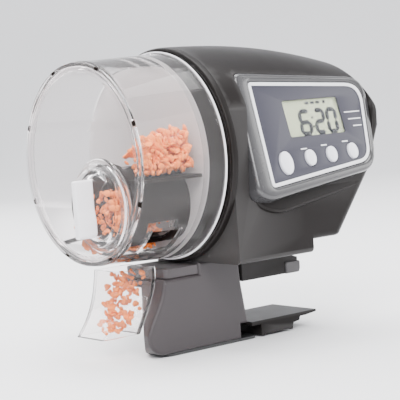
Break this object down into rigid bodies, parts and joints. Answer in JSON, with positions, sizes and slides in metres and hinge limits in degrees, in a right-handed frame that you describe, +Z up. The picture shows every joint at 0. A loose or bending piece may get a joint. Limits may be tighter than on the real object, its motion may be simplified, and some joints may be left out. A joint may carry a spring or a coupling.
{
  "type": "automatic fish feeder",
  "caption": "Battery-driven automatic fish feeder: clear rotating food drum with a portion dial and outlet chute on a motor housing with a timer panel and a tank-rim clamp.",
  "frame": {"origin": "middle of the bottom of the whole part, on the surface it stands on", "axes": "+X along the food drum's axis from the drum towards the housing, -Y the way the control panel faces, +Z up"},
  "size_m": [0.1276, 0.0836, 0.1128],
  "materials": {
    "clear_plastic": "clear, slightly smoky",
    "smoke_plastic": "dark smoke, half clear",
    "frosted_white": "frosted white",
    "housing_plastic": "charcoal, fine satin grain",
    "base_plastic": "mid grey, satin",
    "panel_film": "navy grey, matt film",
    "white_print": "white, satin",
    "lcd_glass": "yellow green display",
    "lens": "clear",
    "button_plastic": "white, soft gloss",
    "gear_plastic": "natural nylon",
    "dark_plastic": "black",
    "board": "green solder resist",
    "steel": "bright",
    "nickel": "nickel plated",
    "bronze": "sintered bronze",
    "cell_jacket": "plain printed sleeve",
    "rubber": "matt grey"
  },
  "bodies": {
    "root": {"idler_pin": "steel", "home_switch": "dark_plastic", "shaft_bushes": "bronze", "gear_plate": "dark_plastic", "gear_posts": "dark_plastic", "plate_screws": "steel", "drive_motor": "steel", "front_shell": "housing_plastic", "rear_shell": "housing_plastic", "case_screws": "steel", "end_plate": "housing_plastic", "bezel_frame": "housing_plastic", "panel_plate": "panel_film", "panel_border": "white_print", "lcd_window": "lens", "lcd_module": "lcd_glass", "circuit_board": "board", "tact_switches": "dark_plastic", "battery_tray": "dark_plastic", "battery_1": "cell_jacket", "battery_2": "cell_jacket", "battery_contacts": "nickel", "battery_springs": "nickel", "base_block": "base_plastic", "base_plate": "dark_plastic", "base_screws": "steel", "base_neck": "base_plastic", "food_chute": "clear_plastic", "upper_jaw": "housing_plastic", "upper_jaw_pad": "rubber"},
    "hub": {"drive_hub": "gear_plastic", "drum_gear": "gear_plastic", "home_cam": "dark_plastic"},
    "idler": {"idler_gear": "gear_plastic"},
    "pinion": {"motor_pinion": "steel"},
    "drum": {"drum_shell": "clear_plastic", "drum_partition": "smoke_plastic"},
    "cap": {"drum_end_cap": "clear_plastic"},
    "dial": {"portion_dial": "clear_plastic", "metering_sleeve": "clear_plastic", "dial_grip": "frosted_white"},
    "cover": {"battery_cover": "housing_plastic"},
    "feed_key": {"feed_button": "button_plastic"},
    "hour_key": {"hour_button": "button_plastic"},
    "minute_key": {"minute_button": "button_plastic"},
    "cycle_key": {"cycle_button": "button_plastic"},
    "thumbwheel": {"clamp_thumbwheel": "dark_plastic", "clamp_screw": "steel"},
    "jaw": {"lower_jaw": "housing_plastic"}
  },
  "joints": [
    {"name": "drum_spin", "type": "hinge", "parent": "root", "child": "hub", "pos_m": [-0.0152, 0.00157, 0.0725], "axis": [1, 0, 0], "continuous": true},
    {"name": "idler_spin", "type": "hinge", "parent": "root", "child": "idler", "pos_m": [-0.0072, 0.00157, 0.0501], "axis": [1, 0, 0], "continuous": true},
    {"name": "pinion_spin", "type": "hinge", "parent": "root", "child": "pinion", "pos_m": [-0.0072, -0.00883, 0.0501], "axis": [1, 0, 0], "continuous": true},
    {"name": "drum_pull", "type": "slide", "parent": "hub", "child": "drum", "axis": [-1, 0, 0], "range_m": [0, 0.03]},
    {"name": "cap_pull", "type": "slide", "parent": "drum", "child": "cap", "axis": [-1, 0, 0], "range_m": [0, 0.03]},
    {"name": "portion_turn", "type": "hinge", "parent": "cap", "child": "dial", "pos_m": [-0.0522, -0.01043, 0.0575], "axis": [1, 0, 0], "range_deg": [0, 90]},
    {"name": "cover_pull", "type": "slide", "parent": "root", "child": "cover", "axis": [0, 1, 0], "range_m": [0, 0.03]},
    {"name": "feed_press", "type": "slide", "parent": "root", "child": "feed_key", "axis": [0, 0.9563, -0.2924], "range_m": [0, 0.0008], "stiffness_N_per_m": 400},
    {"name": "hour_press", "type": "slide", "parent": "root", "child": "hour_key", "axis": [0, 0.9563, -0.2924], "range_m": [0, 0.0008], "stiffness_N_per_m": 400},
    {"name": "minute_press", "type": "slide", "parent": "root", "child": "minute_key", "axis": [0, 0.9563, -0.2924], "range_m": [0, 0.0008], "stiffness_N_per_m": 400},
    {"name": "cycle_press", "type": "slide", "parent": "root", "child": "cycle_key", "axis": [0, 0.9563, -0.2924], "range_m": [0, 0.0008], "stiffness_N_per_m": 400},
    {"name": "clamp_turn", "type": "hinge", "parent": "root", "child": "thumbwheel", "pos_m": [-0.0002, 0.00157, 0.0035], "axis": [0, 0, -1], "range_deg": [0, 1728]},
    {"name": "jaw_rise", "type": "slide", "parent": "root", "child": "jaw", "axis": [0, 0, 1], "range_m": [0, 0.0121]}
  ],
  "couplings": [
    {"joint": "idler_spin", "follows": "drum_spin", "ratio": -2.5},
    {"joint": "pinion_spin", "follows": "drum_spin", "ratio": 4},
    {"joint": "jaw_rise", "follows": "clamp_turn", "m_per_rad": 0.00039789}
  ]
}
